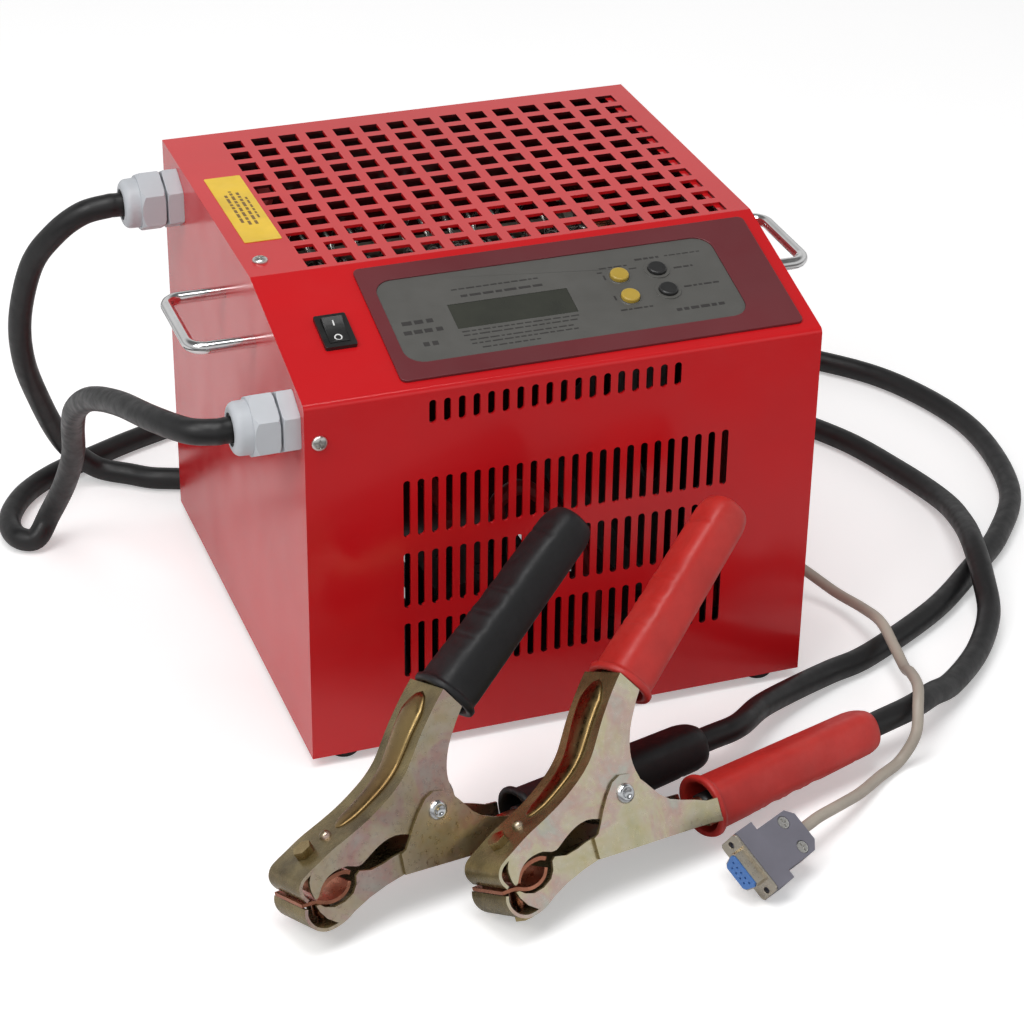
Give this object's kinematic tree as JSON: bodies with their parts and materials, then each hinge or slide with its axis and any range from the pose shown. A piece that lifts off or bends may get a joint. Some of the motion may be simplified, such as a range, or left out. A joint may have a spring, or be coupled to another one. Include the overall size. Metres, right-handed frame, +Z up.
{
  "type": "battery load tester",
  "caption": "Bench battery load tester: vented steel casing with sloped control panel, carrying handles, spring-clamp power leads and a data lead.",
  "frame": {"origin": "on the floor under the middle of the whole set as it lies, casing and leads together", "axes": "+X to the right seen from the panel side, +Y from the panel side to the rear, +Z up"},
  "size_m": [0.5531, 0.5465, 0.2185],
  "materials": {
    "casing_red": "gloss",
    "panel_maroon": "satin",
    "panel_grey": "satin",
    "window": "gloss",
    "screws_zinc": "satin",
    "feet_rubber": "matt",
    "board_green": "satin",
    "display_frame": "satin",
    "switch_black": "satin",
    "key_yellow": "satin",
    "key_black": "satin",
    "label_yellow": "satin",
    "handle_chrome": "polished",
    "gland_grey": "satin",
    "seal_black": "matt",
    "lead_black": "satin",
    "data_grey": "satin",
    "hood_grey": "satin",
    "plug_nickel": "satin",
    "insert_blue": "satin",
    "jaw_zinc": "zinc, slightly golden",
    "rivet_steel": "satin",
    "spring_steel": "satin",
    "sleeve_black": "satin",
    "sleeve_red": "satin",
    "copper": "satin",
    "heater_wire": "satin",
    "bracket_zinc": "satin",
    "ceramic_cream": "glazed ceramic",
    "lead_red": "satin"
  },
  "bodies": {
    "tester": {"base_plate": "casing_red", "side_panel_left": "casing_red", "side_panel_right": "casing_red", "front_cover": "casing_red", "rear_panel": "casing_red", "cover_screws": "screws_zinc", "feet": "feet_rubber", "foot_screws": "screws_zinc", "panel_bezel": "panel_maroon", "face_plate": "panel_grey", "display_window": "window", "display_module": "display_frame", "control_board": "board_green", "board_standoffs": "screws_zinc", "key_switches": "switch_black", "rocker_housing": "switch_black", "warning_label": "label_yellow", "handle_left": "handle_chrome", "handle_right": "handle_chrome", "handle_screws": "screws_zinc", "gland_bodies": "gland_grey", "gland_nuts": "gland_grey", "gland_seals": "seal_black", "gland_locknuts": "gland_grey", "power_lead_rear": "lead_black", "power_lead_front": "lead_black", "lead_lugs": "copper", "data_lead": "data_grey", "data_grommet": "seal_black", "plug_hood": "hood_grey", "plug_shell": "plug_nickel", "plug_insert": "insert_blue", "plug_screws": "screws_zinc", "load_coils": "heater_wire", "coil_brackets": "bracket_zinc", "coil_rods": "ceramic_cream", "bus_bars": "copper", "contactor": "switch_black", "internal_leads": "lead_red", "black_lower_jaw": "jaw_zinc", "black_rivet": "rivet_steel", "black_spring": "spring_steel", "black_lower_sleeve": "sleeve_black", "black_lower_contact": "copper", "red_lower_jaw": "jaw_zinc", "red_rivet": "rivet_steel", "red_spring": "spring_steel", "red_lower_sleeve": "sleeve_red", "red_lower_contact": "copper"},
    "rocker": {"rocker_paddle": "switch_black"},
    "key_yellow_upper": {"button_yellow_upper": "key_yellow"},
    "key_yellow_lower": {"button_yellow_lower": "key_yellow"},
    "key_black_upper": {"button_black_upper": "key_black"},
    "key_black_lower": {"button_black_lower": "key_black"},
    "black_clamp_upper": {"black_upper_jaw": "jaw_zinc", "black_upper_sleeve": "sleeve_black", "black_upper_contact": "copper"},
    "red_clamp_upper": {"red_upper_jaw": "jaw_zinc", "red_upper_sleeve": "sleeve_red", "red_upper_contact": "copper"}
  },
  "joints": [
    {"name": "rocker_tilt", "type": "hinge", "parent": "tester", "child": "rocker", "pos_m": [-0.1495, -0.06141, 0.20247], "axis": [-1, 0, 0], "range_deg": [0, 16]},
    {"name": "key_yellow_upper_press", "type": "slide", "parent": "tester", "child": "key_yellow_upper", "axis": [0, 0.2659, -0.964], "range_m": [0, 0.001]},
    {"name": "key_yellow_lower_press", "type": "slide", "parent": "tester", "child": "key_yellow_lower", "axis": [0, 0.2659, -0.964], "range_m": [0, 0.001]},
    {"name": "key_black_upper_press", "type": "slide", "parent": "tester", "child": "key_black_upper", "axis": [0, 0.2659, -0.964], "range_m": [0, 0.001]},
    {"name": "key_black_lower_press", "type": "slide", "parent": "tester", "child": "key_black_lower", "axis": [0, 0.2659, -0.964], "range_m": [0, 0.001]},
    {"name": "black_clamp_open", "type": "hinge", "parent": "tester", "child": "black_clamp_upper", "pos_m": [-0.155, -0.2, 0.0399], "axis": [-0.2447, 0.9133, -0.3256], "range_deg": [0, 30], "deforming": ["black_spring"]},
    {"name": "red_clamp_open", "type": "hinge", "parent": "tester", "child": "red_clamp_upper", "pos_m": [-0.0735, -0.2162, 0.0384], "axis": [-0.2605, 0.8521, -0.454], "range_deg": [0, 30], "deforming": ["red_spring"]}
  ]
}
